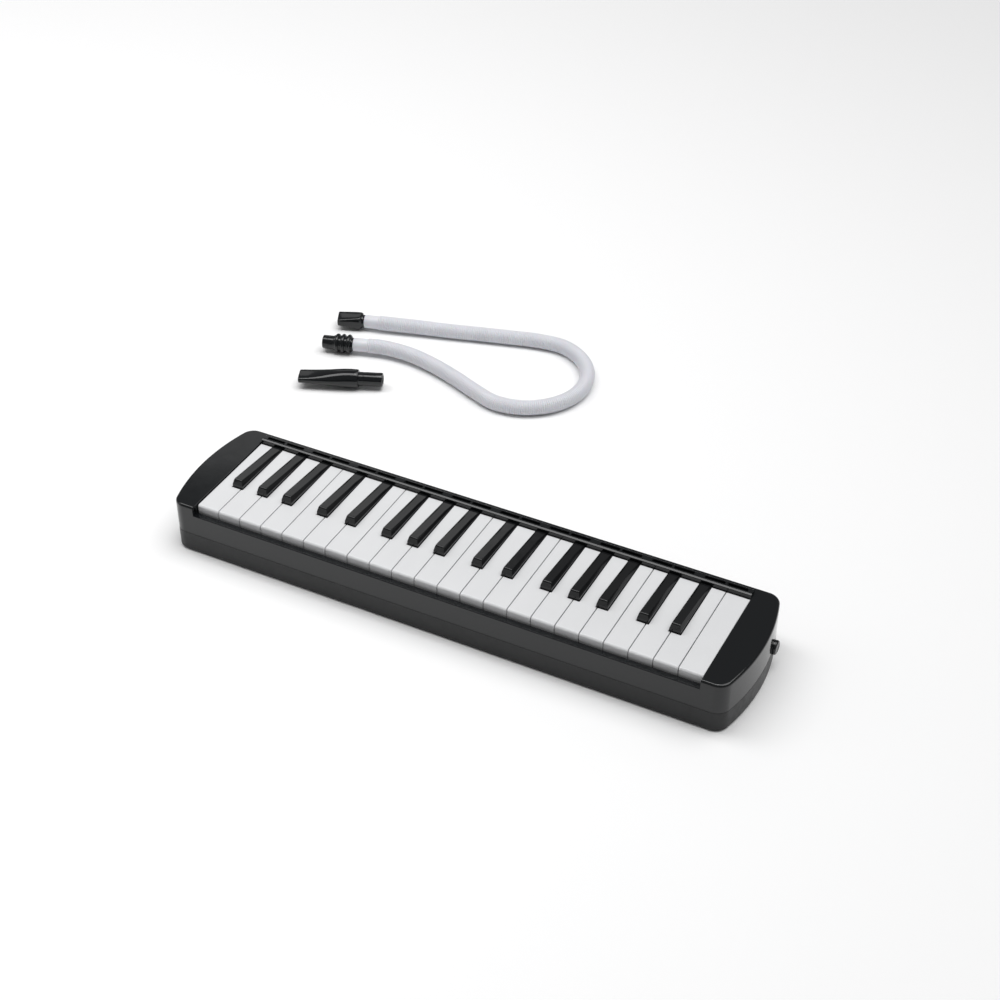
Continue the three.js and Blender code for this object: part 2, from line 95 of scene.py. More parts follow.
SOCKET = Vector((0, 15 * MM, 17.5 * MM))
DRAIN = Vector((0, 26 * MM, 15.3 * MM))
RECESS_X, RECESS_Y, RECESS_Z = 80 * MM, (6 * MM, 38 * MM), 6.4 * MM

HOSE_DIAMETER = 12 * MM
HOSE_ROUTE = [
    (-0.2290, 0.2530, 0.0070), (-0.2060, 0.2595, 0.0070), (-0.1830, 0.2665, 0.0066),
    (-0.1600, 0.2730, 0.0062), (-0.1370, 0.2800, 0.0061), (-0.1140, 0.2865, 0.0061),
    (-0.0910, 0.2925, 0.0061), (-0.0680, 0.2935, 0.0061), (-0.0475, 0.2830, 0.0061),
    (-0.0340, 0.2640, 0.0061), (-0.0310, 0.2405, 0.0061), (-0.0400, 0.2190, 0.0061),
    (-0.0585, 0.2040, 0.0061), (-0.0815, 0.1995, 0.0061), (-0.1040, 0.2065, 0.0061),
    (-0.1265, 0.2155, 0.0062), (-0.1490, 0.2225, 0.0066), (-0.1725, 0.2265, 0.0072),
    (-0.1960, 0.2250, 0.0078), (-0.2190, 0.2180, 0.0078),
]
SHORT_MOUTHPIECE_AT = Vector((-0.234, 0.160, 0.0078))
SHORT_MOUTHPIECE_HEADING = math.atan2(25, 61)

# ---- camera ----

CAMERA_AT = Vector((0.45507, -0.84098, 0.82413))
CAMERA_AZIMUTH, CAMERA_ELEVATION = math.radians(27.12), math.radians(37.94)
CAMERA_LENS = 66.83


def make_camera():
    level = math.cos(CAMERA_ELEVATION)
    back = Vector((math.sin(CAMERA_AZIMUTH) * level, -math.cos(CAMERA_AZIMUTH) * level,
                   math.sin(CAMERA_ELEVATION)))
    camera = bpy.data.objects.new("camera", bpy.data.cameras.new("camera"))
    camera.data.lens = CAMERA_LENS
    camera.location = CAMERA_AT
    camera.rotation_euler = (-back).to_track_quat("-Z", "Y").to_euler()
    bpy.context.scene.collection.objects.link(camera)
    bpy.context.scene.camera = camera


# ---- materials ----


class Look:
    """A Principled material whose colour, roughness and bump vary with procedural textures."""

    def __init__(self, name, color, roughness, metallic=0.0, sockets=()):
        self.material = bpy.data.materials.new(name)
        self.material.use_nodes = True
        self.nodes = self.material.node_tree.nodes
        self.links = self.material.node_tree.links
        self.shader = self.nodes["Principled BSDF"]
        self.color = (*color, 1.0)
        self.shader.inputs["Base Color"].default_value = self.color
        self.shader.inputs["Roughness"].default_value = roughness
        self.shader.inputs["Metallic"].default_value = metallic
        for socket, value in sockets:
            self.shader.inputs[socket].default_value = value
        self.roughness = roughness
        self.place = self.nodes.new("ShaderNodeTexCoord").outputs["Object"]
        self.height = None

    def noise(self, size, detail=2.0, stretch=(1, 1, 1)):
        """A 0 to 1 noise with features of about size metres, drawn out where stretch is small."""
        mapping = self.nodes.new("ShaderNodeMapping")
        mapping.inputs["Scale"].default_value = stretch
        self.links.new(self.place, mapping.inputs["Vector"])
        texture = self.nodes.new("ShaderNodeTexNoise")
        texture.inputs["Scale"].default_value = 1 / size
        texture.inputs["Detail"].default_value = detail
        self.links.new(mapping.outputs["Vector"], texture.inputs["Vector"])
        return texture.outputs["Fac"]

    def cells(self, size, feature="F1"):
        texture = self.nodes.new("ShaderNodeTexVoronoi")
        texture.feature = feature
        texture.inputs["Scale"].default_value = 1 / size
        self.links.new(self.place, texture.inputs["Vector"])
        return texture.outputs["Distance"]

    def spread(self, value, low, high):
        """Draws the middle of a noise, where most of it lies, out to low and high."""
        spread = self.nodes.new("ShaderNodeMapRange")
        spread.inputs["From Min"].default_value, spread.inputs["From Max"].default_value = 0.3, 0.7
        spread.inputs["To Min"].default_value, spread.inputs["To Max"].default_value = low, high
        self.links.new(value, spread.inputs["Value"])
        return spread.outputs["Result"]

    def mottle(self, value, amount):
        """Makes the colour lighter and darker by amount, a share of it."""
        tint = self.nodes.new("ShaderNodeMix")
        tint.data_type = "RGBA"
        tint.inputs[6].default_value = (*(c * (1 - amount) for c in self.color[:3]), 1)
        tint.inputs[7].default_value = (*(min(1, c * (1 + amount)) for c in self.color[:3]), 1)
        self.links.new(self.spread(value, 0, 1), tint.inputs[0])
        self.links.new(tint.outputs[2], self.shader.inputs["Base Color"])
        return self

    def polish(self, value, amount):
        """Varies the roughness by plus and minus amount."""
        low, high = self.roughness - amount, self.roughness + amount
        self.links.new(self.spread(value, low, high), self.shader.inputs["Roughness"])
        return self

    def bump(self, value, depth, strength=1.0):
        bump = self.nodes.new("ShaderNodeBump")
        bump.inputs["Strength"].default_value = strength
        bump.inputs["Distance"].default_value = depth
        self.links.new(value, bump.inputs["Height"])
        if self.height is not None:
            self.links.new(self.height, bump.inputs["Normal"])
        self.height = bump.outputs["Normal"]
        self.links.new(self.height, self.shader.inputs["Normal"])
        return self


def black_gloss():
    look = Look("black_gloss_abs", (0.0075, 0.0085, 0.0095), 0.09, sockets=[("IOR", 1.48)])
    look.polish(look.noise(9 * MM, 4), 0.025)
    look.bump(look.noise(2.6 * MM, 1), 0.004 * MM)
    return look.bump(look.noise(0.25 * MM, 3, (1, 0.04, 1)), 0.0006 * MM).material


def black_flat():
    look = Look("black_textured_abs", (0.0105, 0.0112, 0.012), 0.42, sockets=[("IOR", 1.42)])
    look.polish(look.noise(4 * MM, 3), 0.05)
    return look.bump(look.cells(0.35 * MM), 0.02 * MM, 0.6).material


def key_white():
    look = Look("white_key_abs", (0.715, 0.72, 0.73), 0.24, sockets=[("IOR", 1.49)])
    look.mottle(look.noise(30 * MM, 2), 0.014)
    return look.polish(look.noise(12 * MM, 2), 0.03).material


def key_black():
    look = Look("black_key_abs", (0.0078, 0.0083, 0.009), 0.11, sockets=[("IOR", 1.48)])
    look.polish(look.noise(5 * MM, 4), 0.03)
    look.bump(look.noise(1.8 * MM, 1), 0.004 * MM)
    return look.bump(look.noise(0.22 * MM, 3, (1, 0.05, 1)), 0.0008 * MM).material


def hose_white():
    look = Look("hose_polyethylene", (0.71, 0.718, 0.76), 0.36,
                sockets=[("Subsurface Weight", 0.12), ("Subsurface Scale", 0.0008)])
    look.mottle(look.noise(14 * MM, 2), 0.02)
    return look.polish(look.noise(3 * MM, 3), 0.06).material


def grey_plastic():
    look = Look("grey_abs", (0.30, 0.31, 0.31), 0.5)
    look.mottle(look.noise(12 * MM, 3), 0.05)
    return look.bump(look.noise(0.5 * MM, 3), 0.02 * MM).material


def rubber():
    look = Look("rubber", (0.028, 0.028, 0.029), 0.75)
    look.mottle(look.noise(5 * MM, 4), 0.15)
    return look.bump(look.noise(0.3 * MM, 3), 0.03 * MM).material


def felt():
    look = Look("grey_felt", (0.055, 0.055, 0.058), 0.95,
                sockets=[("Sheen Weight", 0.6), ("Sheen Roughness", 0.5)])
    look.mottle(look.noise(0.7 * MM, 6, (1, 2.5, 1)), 0.4)
    return look.bump(look.noise(0.4 * MM, 6, (1, 3, 1)), 0.25 * MM).material


def pad_leather():
    look = Look("pad_leather", (0.62, 0.52, 0.40), 0.7, sockets=[("Sheen Weight", 0.2)])
    look.mottle(look.noise(1.5 * MM, 4), 0.12)
    return look.bump(look.noise(0.25 * MM, 4), 0.05 * MM).material


def strap_leather():
    look = Look("strap_leather", (0.020, 0.018, 0.017), 0.5)
    look.mottle(look.noise(8 * MM, 4), 0.3)
    look.polish(look.noise(4 * MM, 3), 0.08)
    look.bump(look.cells(1.3 * MM, "DISTANCE_TO_EDGE"), 0.10 * MM, 0.8)
    return look.bump(look.noise(0.4 * MM, 4), 0.04 * MM).material


def thread():
    look = Look("thread", (0.05, 0.048, 0.046), 0.8, sockets=[("Sheen Weight", 0.4)])
    return look.bump(look.noise(0.2 * MM, 3), 0.05 * MM).material


def brass():
    look = Look("rolled_brass", (0.66, 0.48, 0.20), 0.3, 1.0)
    look.mottle(look.noise(20 * MM, 4), 0.12)
    look.polish(look.noise(0.5 * MM, 4, (1, 0.03, 1)), 0.08)
    return look.bump(look.noise(0.3 * MM, 3, (1, 0.03, 1)), 0.004 * MM).material


def reed_bronze():
    look = Look("reed_bronze", (0.70, 0.44, 0.22), 0.26, 1.0)
    return look.polish(look.noise(0.4 * MM, 3, (1, 0.05, 1)), 0.08).material


def spring_steel():
    look = Look("spring_steel", (0.50, 0.51, 0.52), 0.28, 1.0)
    look.polish(look.noise(0.5 * MM, 4, (0.05, 1, 1)), 0.08)
    return look.bump(look.noise(0.3 * MM, 3, (0.04, 1, 1)), 0.004 * MM).material


def screw_steel():
    look = Look("screw_steel", (0.36, 0.36, 0.37), 0.32, 1.0)
    look.mottle(look.noise(1.2 * MM, 4), 0.15)
    return look.polish(look.noise(0.6 * MM, 3), 0.1).material


BLACK_GLOSS, BLACK_FLAT, KEY_WHITE, KEY_BLACK = black_gloss(), black_flat(), key_white(), key_black()
HOSE_WHITE, GREY, RUBBER, FELT, PAD_LEATHER = hose_white(), grey_plastic(), rubber(), felt(), pad_leather()
STRAP, THREAD, BRASS, REED = strap_leather(), thread(), brass(), reed_bronze()
STEEL, SCREW = spring_steel(), screw_steel()

# ---- meshes ----


def ease(value, start, end):
    t = min(max((value - start) / (end - start), 0), 1)
    return t * t * (3 - 2 * t)


def mix(a, b, t):
    return a + (b - a) * t


def make_object(name, points, faces):
    mesh = bpy.data.meshes.new(name)
    mesh.from_pydata([tuple(p) for p in points], [], faces)
    work = bmesh.new()
    work.from_mesh(mesh)
    bmesh.ops.recalc_face_normals(work, faces=work.faces)
    work.to_mesh(mesh)
    work.free()
    made = bpy.data.objects.new(name, mesh)
    bpy.context.scene.collection.objects.link(made)
    return made


def box(name, low, high):
    corners = [Vector((x, y, z))
               for z in (low[2], high[2]) for y in (low[1], high[1]) for x in (low[0], high[0])]
    faces = [(0, 1, 3, 2), (4, 6, 7, 5), (0, 4, 5, 1), (2, 3, 7, 6), (0, 2, 6, 4), (1, 5, 7, 3)]
    return make_object(name, corners, faces)


def stack(name, rings, closed=False):
    """Joins rings of equally many points, one after the other, into a loop if closed, or with flat ends."""
    count = len(rings[0])
    points = [p for ring in rings for p in ring]
    faces = []
    pairs = len(rings) if closed else len(rings) - 1
    for i in range(pairs):
        a, b = i * count, (i + 1) % len(rings) * count
        faces += [(a + j, a + (j + 1) % count, b + (j + 1) % count, b + j) for j in range(count)]
    if not closed:
        last = (len(rings) - 1) * count
        faces += [tuple(range(count)), tuple(range(last, last + count))]
    return make_object(name, points, faces)


def extrude_x(name, outline, x0, x1):
    """An outline of (y, z) points drawn out from x0 to x1."""
    return stack(name, [[Vector((x, y, z)) for y, z in outline] for x in (x0, x1)])


def circle(radius, count):
    angles = [2 * math.pi * i / count for i in range(count)]
    return [(radius * math.cos(a), radius * math.sin(a)) for a in angles]


def turned(name, profile, count=48, closed=False):
    """A profile of (x, radius) points turned about the X axis."""
    rings = [[Vector((x, y, z)) for y, z in circle(max(radius, 1e-6), count)] for x, radius in profile]
    return stack(name, rings, closed)


def combine(target, tool, operation):
    """Joins, cuts or intersects target with tool, and uses tool up."""
    step = target.modifiers.new("combine", "BOOLEAN")
    step.operation, step.object, step.solver = operation, tool, "EXACT"
    bpy.context.view_layer.update()
    mesh = bpy.data.meshes.new_from_object(target.evaluated_get(bpy.context.evaluated_depsgraph_get()))
    target.modifiers.clear()
    old, target.data = target.data, mesh
    bpy.data.meshes.remove(old)
    bpy.data.objects.remove(tool)
    return target


def cut(target, *tools):
    for tool in tools:
        combine(target, tool, "DIFFERENCE")
    return target


def join(target, *tools):
    for tool in tools:
        combine(target, tool, "UNION")
    return target


def clean(piece):
    """Merges doubled points and dissolves the flat edges that cutting leaves."""
    work = bmesh.new()
    work.from_mesh(piece.data)
    bmesh.ops.remove_doubles(work, verts=work.verts, dist=1e-6)
    bmesh.ops.dissolve_limit(work, angle_limit=math.radians(0.2), verts=work.verts, edges=work.edges)
    work.to_mesh(piece.data)
    work.free()
    return piece


def round_edges(piece, width, segments=3, angle=30):
    """Rounds every edge that is sharper than angle, and shades the flats as flat."""
    piece.data.shade_smooth()
    bevel = piece.modifiers.new("rounded_edges", "BEVEL")
    bevel.width, bevel.segments = width, segments
    bevel.limit_method, bevel.angle_limit = "ANGLE", math.radians(angle)
    bevel.miter_outer = "MITER_ARC"
    normals = piece.modifiers.new("flat_shading", "WEIGHTED_NORMAL")
    normals.keep_sharp = True
    return piece


def smooth(piece, angle=35):
    piece.data.shade_smooth()
    piece.data.set_sharp_from_angle(angle=math.radians(angle))
    return piece


def settle(piece, body, material, slot, *nodes):
    """Gives a finished piece its material, its body and the CAD nodes that it stands for. slot is not used.
    """
    piece.data.materials.clear()
    piece.data.materials.append(material)
    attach(piece, body)
    if nodes:
        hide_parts(*nodes)
    return piece


def dress(node, material, width):
    """Keeps a CAD node, with its material and with rounded edges."""
    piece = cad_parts[node]
    piece.data.materials.clear()
    piece.data.materials.append(material)
    flat = piece.modifiers.new("merged_flats", "DECIMATE")
    flat.decimate_type, flat.angle_limit = "DISSOLVE", math.radians(1)
    return round_edges(piece, width, 2)


def place(piece, start, ahead):
    """Puts a piece that was made along X at start, pointing to ahead."""
    turn = Vector((1, 0, 0)).rotation_difference(Vector(ahead) - Vector(start)).to_matrix().to_4x4()
    piece.data.transform(Matrix.Translation(start) @ turn)
    return piece


# ---- case ----


def case_outline(inset, corner_steps=14, end_steps=28):
    """The case seen from above, moved in by inset: two arcs as ends, joined by four corner arcs."""
    corner_y = HALF_DEPTH - CORNER_RADIUS
    spread = math.asin(corner_y / (END_RADIUS - CORNER_RADIUS))
    corner_x = END_CENTRE_X + (END_RADIUS - CORNER_RADIUS) * math.cos(spread)
    arcs = [
        (corner_x, -corner_y, CORNER_RADIUS, -math.pi / 2, -spread, corner_steps),
        (END_CENTRE_X, 0, END_RADIUS, -spread, spread, end_steps),
        (corner_x, corner_y, CORNER_RADIUS, spread, math.pi / 2, corner_steps),
    ]
    half = []
    for x, y, radius, first, last, steps in arcs:
        for i in range(steps):
            angle = first + (last - first) * i / steps
            half.append((x + (radius - inset) * math.cos(angle), y + (radius - inset) * math.sin(angle)))
    half.append((corner_x, HALF_DEPTH - inset))
    return half + [(-x, -y) for x, y in half]


def case_block(name, levels):
    """Stacks the outline at (inset, z) levels."""
    return stack(name, [[Vector((x, y, z)) for x, y in case_outline(inset)] for inset, z in levels])


def quarter(radius, z, upwards, steps=6):
    """(inset, z) levels that round an edge which ends at height z."""
    levels = []
    for i in range(steps + 1):
        angle = math.pi / 2 * i / steps
        rise = radius * (math.sin(angle) - 1)
        levels.append((radius * (1 - math.cos(angle)), z + rise if upwards else z - rise))
    return levels


def bar(name, low, high):
    return box(name, [v * MM for v in low], [v * MM for v in high])


def top_cover():
    roof_z = CASE_TOP_Z - WALL
    cover = case_block("top_cover", [(0, PARTING_Z), *quarter(2 * MM, CASE_TOP_Z, True, 8)])
    cut(cover, case_block("inside", [(WALL, PARTING_Z - MM), (WALL, roof_z)]))
    front, rear = OPENING_Y
    cheek = 1.7 * MM
    for side in (-1, 1):
        low, high = sorted((side * OPENING_X - side * MM, side * (OPENING_X + cheek)))
        join(cover, box("cheek", (low, front - MM, PLATE_Z), (high, rear + MM, roof_z + 0.5 * MM)))
    join(cover, box("lip", (-OPENING_X - MM, -HALF_DEPTH + MM, FRONT_LIP_Z - WALL),
                    (OPENING_X + MM, front + MM, FRONT_LIP_Z + MM)))
    cut(cover, box("opening", (-OPENING_X, front, PARTING_Z), (OPENING_X, rear, CASE_TOP_Z + MM)),
        box("front_opening", (-OPENING_X, -HALF_DEPTH - MM, FRONT_LIP_Z),
            (OPENING_X, front + MM, CASE_TOP_Z + MM)))
    join(cover, extrude_x("rail", rail_outline(rear, roof_z), -OPENING_X + 0.6 * MM, OPENING_X - 0.6 * MM))
    cut(cover, rail_slots(), socket_hole(), drain_hole())
    round_edges(clean(cover), 0.55 * MM, 4)
    return settle(cover, "case", BLACK_GLOSS, "black_gloss", "top_cover")


def arc(y, z, radius, first, last, steps=6):
    """Points on an arc about (y, z), between two angles in degrees."""
    angles = [math.radians(first + (last - first) * i / steps) for i in range(steps + 1)]
    return [(y + radius * math.cos(a), z + radius * math.sin(a)) for a in angles]


def fillet(before, corner, after, radius, steps=6):
    """The points that round the corner between two straight lines of a (y, z) outline."""
    corner = Vector(corner)
    a, b = (Vector(before) - corner).normalized(), (Vector(after) - corner).normalized()
    half = a.angle(b) / 2
    centre = corner + (a + b).normalized() * radius / math.sin(half)
    start = corner + a * radius / math.tan(half) - centre
    end = corner + b * radius / math.tan(half) - centre
    turn = start.angle_signed(end)
    first = math.atan2(start.y, start.x)
    angles = [first - turn * i / steps for i in range(steps + 1)]
    return [centre + Vector((radius * math.cos(a), radius * math.sin(a))) for a in angles]


def rail_outline(front, foot_z):
    """A ledge behind the keys. Its front edge is a crowned slope between two tight curves."""
    lower, slope, upper, back = 0.5 * MM, 6.4 * MM, 0.8 * MM, 0.8 * MM
    steep, shallow = math.radians(120), math.radians(104)
    slope_y = front + lower + (lower - slope) * math.cos(steep)
    upper_y = slope_y + (slope - upper) * math.cos(shallow)
    upper_z = RAIL_TOP_Z - upper
    slope_z = upper_z - (slope - upper) * math.sin(shallow)
    lower_z = slope_z + (slope - lower) * math.sin(steep)
    return [
        (front, foot_z),
        *arc(front + lower, lower_z, lower, 180, 120, 4),
        *arc(slope_y, slope_z, slope, 120, 104, 4),
        *arc(upper_y, upper_z, upper, 104, 90, 2),
        *arc(RAIL_REAR_Y - back, RAIL_TOP_Z - back, back, 90, 0, 4),
        (RAIL_REAR_Y, foot_z),
    ]


def rail_slots():
    """All sound slots as one cutter: pairs with a thin rib between their two slots."""
    points, faces = [], []
    period = WHITE_KEYS * PITCH / SLOT_PAIRS
    for i in range(SLOT_PAIRS):
        for side in (-1, 1):
            middle = -WHITE_KEYS / 2 * PITCH + (i + 0.5) * period
            centre = middle + side * (SLOT_LENGTH + SLOT_RIB) / 2
            outline = slot_outline(centre)
            first, count = len(points), len(outline)
            for z in (CASE_TOP_Z - 2 * WALL, RAIL_TOP_Z + MM):
                points += [Vector((x, y, z)) for x, y in outline]
            faces += [tuple(range(first, first + count)), tuple(range(first + count, first + 2 * count))]
            faces += [(first + j, first + (j + 1) % count, first + count + (j + 1) % count, first + count + j)
                      for j in range(count)]
    return make_object("slots", points, faces)


def slot_outline(centre, corner=0.6 * MM, steps=4):
    half_length, half_width = SLOT_LENGTH / 2 - corner, SLOT_WIDTH / 2 - corner
    outline = []
    for turn, (sx, sy) in enumerate(((1, 1), (-1, 1), (-1, -1), (1, -1))):
        for i in range(steps + 1):
            angle = math.pi / 2 * (turn + i / steps)
            outline.append((centre + sx * half_length + corner * math.cos(angle),
                            SLOT_Y + sy * half_width + corner * math.sin(angle)))
    return outline


def hole_along_x(centre, radius, x0, x1, count=40):
    tool = turned("hole", [(x0, radius), (x1, radius)], count)
    tool.data.transform(Matrix.Translation((0, centre.y, centre.z)))
    return tool


END_HOLE_X = (200 * MM, 230 * MM)  # how far the end holes' cutters reach, at either end
SOCKET_HOLE_RADIUS, DRAIN_HOLE_RADIUS = 8.3 * MM, 5.4 * MM


def socket_hole():
    return hole_along_x(SOCKET, SOCKET_HOLE_RADIUS, -END_HOLE_X[1], -END_HOLE_X[0])


def drain_hole():
    return hole_along_x(DRAIN, DRAIN_HOLE_RADIUS, *END_HOLE_X)


SCREW_PLACES = [(x * MM, y * MM) for x in (-192, -100, 100, 192) for y in (-38, 43)]
COUNTERBORE = 3.6 * MM
SCREW_DEPTH = 2.4 * MM


def bottom_cover():
    top = PARTING_Z - 0.3 * MM
    floor_z = WALL
    cover = case_block("bottom_cover", [*reversed(quarter(2 * MM, 0, False, 8)), (0, top)])
    cut(cover, case_block("inside", [(WALL, floor_z), (WALL, top + MM)]))
    join(cover, box("recess_roof", (-RECESS_X - WALL, RECESS_Y[0] - WALL, floor_z / 2),
                    (RECESS_X + WALL, RECESS_Y[1] + WALL, RECESS_Z + WALL)))
    for y, half_flange, flange_z in ((-33, 4, 23.5), (-8.5, 2.5, 24.5)):
        join(cover, bar("rib", (-186, y - 1.2, 1.1), (186, y + 1.2, flange_z - 0.5)),
             bar("flange", (-186, y - half_flange, flange_z - 1.5), (186, y + half_flange, flange_z)))
    for x, y in SCREW_PLACES:
        pillar = turned("pillar", [(1.1 * MM, 5 * MM), (8.6 * MM, 4.4 * MM)], 32)
        pillar.data.transform(Matrix.Translation((x, y, 0)) @ Matrix.Rotation(-math.pi / 2, 4, "Y"))
        join(cover, pillar)
    cut(cover, box("recess", (-RECESS_X, RECESS_Y[0], -MM), (RECESS_X, RECESS_Y[1], RECESS_Z)))
    for x, y in SCREW_PLACES:
        bore = turned("bore", [(-MM, COUNTERBORE), (SCREW_DEPTH + 1.2 * MM, COUNTERBORE)], 32)
        bore.data.transform(Matrix.Translation((x, y, 0)) @ Matrix.Rotation(-math.pi / 2, 4, "Y"))
        cut(cover, bore)
    cut(cover, socket_hole(), drain_hole())
    round_edges(clean(cover), 0.4 * MM, 3)
    return settle(cover, "case", BLACK_FLAT, "black_flat", "bottom_cover")


def screw(name, at, radius=3.0 * MM):
    """A pan-head screw seen from below, with its cross recess."""
    under_head, shank = 1.7 * MM, radius * 0.5
    profile = [(0.0, radius * 0.86), (0.25 * MM, radius * 0.97), (0.9 * MM, radius), (under_head, radius),
               (under_head, shank), (6 * MM, shank)]
    head = turned(name, profile, 40)
    slot_depth, slot_length, slot_width = 1 * MM, radius * 0.62 * 0.85, radius * 0.62 * 0.14
    for y, z in ((slot_length, slot_width), (slot_width, slot_length)):
        cut(head, box("cross", (-slot_depth, -y, -z), (slot_depth, y, z)))
    head.data.transform(Matrix.Translation(at) @ Matrix.Rotation(-math.pi / 2, 4, "Y"))
    round_edges(clean(head), 0.08 * MM, 2)
    return head


def cover_screws():
    for i, (x, y) in enumerate(SCREW_PLACES, 1):
        piece = screw(f"cover_screw_{i}", Vector((x, y, SCREW_DEPTH - 1.5 * MM)))
        settle(piece, "case", SCREW, "spring_steel")


# ---- keys ----


def key_nodes(color):
    return [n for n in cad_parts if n.startswith(f"{color}_key_") and not n.endswith("felt")]


def middle_x(node):
    low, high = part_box(node)
    return (low.x + high.x) / 2


BLACK_MIDDLES = {node: middle_x(node) for node in key_nodes("black")}


def lever_places():
    """Each note's lever, which is under the middle of a black key and beside it under a white key."""
    places = {node.split("_")[-1]: x for node, x in BLACK_MIDDLES.items()}
    for node in key_nodes("white"):
        note = node.split("_")[-1]
        places[note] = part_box(node)[0].x - KEY_GAP / 2 + LEVER_OFFSET[note[0]] * MM
    return places


LEVERS = lever_places()


def lever(name, x, front_y):
    """The narrow web under a key, with its pivot boss and its tail, which carries the valve pad."""
    boss_z, rear_y = 26.2 * MM, 45.5 * MM
    outline = [
        (front_y, SKIRT_Z), (17 * MM, SKIRT_Z), (19.5 * MM, boss_z), (rear_y, boss_z),
        (rear_y, PLATE_Z + MM), (KEY_REAR_Y - 0.5 * MM, PLATE_Z + 2 * MM), (front_y, PLATE_Z + 2 * MM),
    ]
    web = extrude_x(name, outline, x - LEVER_WIDTH / 2, x + LEVER_WIDTH / 2)
    bore = hole_along_x(PIVOT, PIVOT_BORE_RADIUS, x - LEVER_WIDTH, x + LEVER_WIDTH, 24)
    return cut(web, bore)


def valve_pad(node, x, body):
    """The felt and leather pad that closes a tone hole."""
    half = 3.5 * MM
    y0, y1 = 35.5 * MM, 44.5 * MM
    for part, z0, z1, material in (("felt", 24.3, 26.15, FELT), ("leather", 23.3, 24.28, PAD_LEATHER)):
        pad = box(f"valve_{part}_{node.split('_')[-1]}", (x - half, y0, z0 * MM), (x + half, y1, z1 * MM))
        settle(round_edges(pad, 0.25 * MM, 2), body, material, "felt")


def white_key(node):
    note = node.split("_")[-1]
    low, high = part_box(node)
    x0, x1, front_y = low.x, high.x, low.y
    lever_x = LEVERS[note]
    nose = 1.7 * MM
    side = [
        *arc(front_y + nose, KEY_TOP_Z - nose, nose, 90, 180),
        (front_y, SKIRT_Z), (NOTCH_Y, SKIRT_Z), (NOTCH_Y, PLATE_Z), (KEY_REAR_Y, PLATE_Z),
        (KEY_REAR_Y, KEY_TOP_Z),
    ]
    key = extrude_x(node + "_piece", side, x0, x1)
    middle = (x0 + x1) / 2
    for black_x in BLACK_MIDDLES.values():
        if abs(black_x - middle) < PITCH:
            left = black_x < middle
            reach = (x0 - MM, black_x + NOTCH_HALF) if left else (black_x - NOTCH_HALF, x1 + MM)
            cut(key, box("notch", (reach[0], NOTCH_Y, PLATE_Z - MM),
                         (reach[1], KEY_REAR_Y + MM, KEY_TOP_Z + MM)))
    wall, roof, rear_wall = 1.5 * MM, 2 * MM, 2.1 * MM
    cut(key, box("hollow", (x0 + wall, front_y + wall, SKIRT_Z - MM),
                 (x1 - wall, NOTCH_Y - rear_wall, KEY_TOP_Z - roof)))
    join(key, lever("lever", lever_x, NOTCH_Y - MM))
    round_edges(clean(key), 0.32 * MM, 3, 25)
    body = f"key_{note}"
    settle(key, body, KEY_WHITE, "key_white", node)
    valve_pad(node, lever_x, body)


def black_key(node):
    """A wedge with drafted sides over an upright skirt, high in front and a little hollow along its top."""
    note = node.split("_")[-1]
    low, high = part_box(node)
    x, half, front_y, top_z = middle_x(node), (high.x - low.x) / 2, low.y, high.z
    lean, hollow, rear_z, shoulder_z, nose = 1.15 * MM, 0.35 * MM, 39 * MM, 40.2 * MM, 1.4 * MM
    crest, rear = Vector((front_y + lean, top_z + 0.25 * MM)), Vector((KEY_REAR_Y, rear_z))
    front = fillet((front_y, shoulder_z), crest, rear, nose, 10)
    top = []
    for i in range(1, 8):
        t = i / 8
        top.append(front[-1].lerp(rear, t) - Vector((0, hollow * math.sin(math.pi * t))))
    outline = [(front_y, PLATE_Z), (front_y, shoulder_z), *front, *top, rear, (KEY_REAR_Y, PLATE_Z)]
    key = extrude_x(node + "_piece", outline, x - half, x + half)
    for side in (-1, 1):
        cut(key, side_draft(x, side * half, (front_y, shoulder_z, top_z), (KEY_REAR_Y, 38.5 * MM, rear_z)))
    join(key, lever("lever", x, front_y + MM))
    round_edges(clean(key), 0.28 * MM, 3, 9)
    body = f"key_{note}"
    settle(key, body, KEY_BLACK, "key_black", node)
    valve_pad(node, x, body)


def side_draft(x, half, front, rear):
    """What a black key loses beside its top. front and rear are (y, shoulder height, top height)."""
    sign, face = math.copysign(1, half), x + half
    reach, outside, below = 2 * MM, 3 * MM, MM / 2
    rings = []
    for (y, shoulder_z, ridge_z), inward in ((front, 0.95 * MM), (rear, 0.7 * MM)):
        slope = (ridge_z - shoulder_z) / inward
        y += -MM if y < 0 else MM
        rings.append([Vector((face + sign * out, y, shoulder_z + slope * up)) for out, up in (
            (0, 0), (-reach, reach), (outside, reach), (outside, -below), (below, -below))])
    return stack("draft", rings)


# ---- ends ----


def blow_socket():
    low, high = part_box("blow_socket")
    outer, bore = 8 * MM, 5.7 * MM
    mouth, flange = low.x, -206.2 * MM
    profile = [
        (mouth, bore + 0.9 * MM), (mouth, outer - 0.7 * MM), (mouth + 0.2 * MM, outer - 0.2 * MM),
        (mouth + 0.7 * MM, outer), (mouth + 2.6 * MM, outer), (mouth + 2.8 * MM, outer - 0.3 * MM),
        (mouth + 3.2 * MM, outer - 0.3 * MM), (mouth + 3.4 * MM, outer), (flange, outer),
        (flange, outer + 2 * MM), (flange + 2 * MM, outer + 2 * MM), (flange + 2 * MM, outer),
        (high.x, outer), (high.x, bore), (mouth + 0.9 * MM, bore), (mouth + 0.3 * MM, bore + 0.3 * MM),
    ]
    socket = turned("blow_socket_piece", profile, 64, closed=True)
    socket.data.transform(Matrix.Translation((0, SOCKET.y, SOCKET.z)))
    settle(smooth(socket, 30), "case", BLACK_FLAT, "black_flat", "blow_socket")


